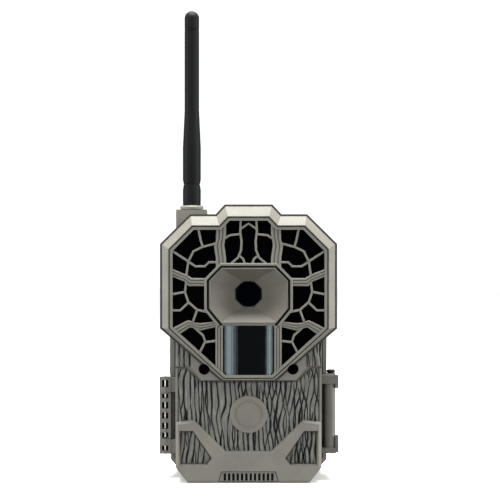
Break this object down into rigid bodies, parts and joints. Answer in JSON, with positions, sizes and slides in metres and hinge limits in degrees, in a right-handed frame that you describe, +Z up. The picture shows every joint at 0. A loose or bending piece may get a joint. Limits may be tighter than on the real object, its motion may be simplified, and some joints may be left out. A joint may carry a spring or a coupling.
{
  "type": "trail camera",
  "caption": "Weatherproof trail camera with a hinged front, octagonal hood with a cracked-pattern grille, bark-textured cover, side latch and whip antenna.",
  "frame": {"origin": "middle of the footprint at the base the camera stands on", "axes": "+Z up along the height, -Y is the front with the lens, +X is the latch side, on the right as seen from the front"},
  "size_m": [0.1012, 0.07, 0.268],
  "materials": {
    "housing": "matte moulded",
    "grille": "matte moulded",
    "black_window": "gloss",
    "lens_glass": "polished",
    "inner_plastic": "matte moulded",
    "antenna_black": "satin",
    "rubber": "matte",
    "steel": "plated",
    "brass": "turned",
    "circuit": "satin",
    "cell": "satin sleeve",
    "screen": "gloss"
  },
  "bodies": {
    "rear": {"rear_shell": "housing", "door_gasket": "rubber", "tripod_insert": "brass", "hinge_pin": "steel", "antenna_collar": "housing", "antenna_connector": "brass", "battery_tray": "inner_plastic", "battery_cell_1": "cell", "battery_cell_2": "cell", "battery_cell_3": "cell", "battery_cell_4": "cell", "battery_cell_5": "cell", "battery_cell_6": "cell", "battery_cell_7": "cell", "battery_cell_8": "cell", "contact_bottom": "steel", "contact_middle": "steel", "contact_top": "steel", "tree_bracket": "housing", "bracket_screw_1": "steel", "bracket_screw_2": "steel", "bracket_screw_3": "steel", "bracket_screw_4": "steel", "latch_pin": "steel", "usb_port": "steel", "dc_jack": "inner_plastic"},
    "door": {"front_cover": "housing", "hood": "housing", "hood_grille": "grille", "ir_window": "black_window", "led_board": "circuit", "lens_funnel": "housing", "lens_barrel": "inner_plastic", "lens_glass": "lens_glass", "pir_lens": "black_window", "pir_sensor": "steel", "light_sensor": "lens_glass", "indicator_led": "lens_glass", "main_board": "circuit", "image_sensor": "inner_plastic", "lcd_screen": "screen", "card_slot": "steel", "inner_panel": "inner_plastic", "panel_screw_1": "steel", "panel_screw_2": "steel", "panel_screw_3": "steel", "panel_screw_4": "steel", "sound_grille": "housing", "badge": "housing"},
    "latch": {"latch_lever": "housing"},
    "antenna_whip": {"antenna": "antenna_black"},
    "flap": {"port_flap": "rubber"},
    "card": {"memory_card": "inner_plastic"},
    "switch": {"power_switch": "inner_plastic"},
    "button_up": {"button_up": "rubber"},
    "button_down": {"button_down": "rubber"},
    "button_left": {"button_left": "rubber"},
    "button_right": {"button_right": "rubber"},
    "button_ok": {"button_ok": "rubber"},
    "button_menu": {"button_menu": "rubber"}
  },
  "joints": [
    {"name": "door_hinge", "type": "hinge", "parent": "rear", "child": "door", "pos_m": [-0.0474, -0.0055, 0.035], "axis": [0, 0, -1], "range_deg": [0, 110]},
    {"name": "latch_turn", "type": "hinge", "parent": "rear", "child": "latch", "pos_m": [0.0474, 0.004, 0.037], "axis": [0, 0, 1], "range_deg": [0, 90]},
    {"name": "antenna_spin", "type": "hinge", "parent": "rear", "child": "antenna_whip", "pos_m": [-0.0329, 0.008, 0.1558], "axis": [0, 0, 1], "continuous": true},
    {"name": "port_flap_hinge", "type": "hinge", "parent": "rear", "child": "flap", "pos_m": [0.0445, 0.012, 0.0718], "axis": [0, 1, 0], "range_deg": [0, 80]},
    {"name": "card_slide", "type": "slide", "parent": "door", "child": "card", "axis": [1, 0, 0], "range_m": [0, 0.016]},
    {"name": "switch_slide", "type": "slide", "parent": "door", "child": "switch", "axis": [0, 0, 1], "range_m": [-0.004, 0.004]},
    {"name": "press_up", "type": "slide", "parent": "door", "child": "button_up", "axis": [0, -1, 0], "range_m": [0, 0.0008], "stiffness_N_per_m": 900},
    {"name": "press_down", "type": "slide", "parent": "door", "child": "button_down", "axis": [0, -1, 0], "range_m": [0, 0.0008], "stiffness_N_per_m": 900},
    {"name": "press_left", "type": "slide", "parent": "door", "child": "button_left", "axis": [0, -1, 0], "range_m": [0, 0.0008], "stiffness_N_per_m": 900},
    {"name": "press_right", "type": "slide", "parent": "door", "child": "button_right", "axis": [0, -1, 0], "range_m": [0, 0.0008], "stiffness_N_per_m": 900},
    {"name": "press_ok", "type": "slide", "parent": "door", "child": "button_ok", "axis": [0, -1, 0], "range_m": [0, 0.0008], "stiffness_N_per_m": 900},
    {"name": "press_menu", "type": "slide", "parent": "door", "child": "button_menu", "axis": [0, -1, 0], "range_m": [0, 0.0008], "stiffness_N_per_m": 900}
  ]
}
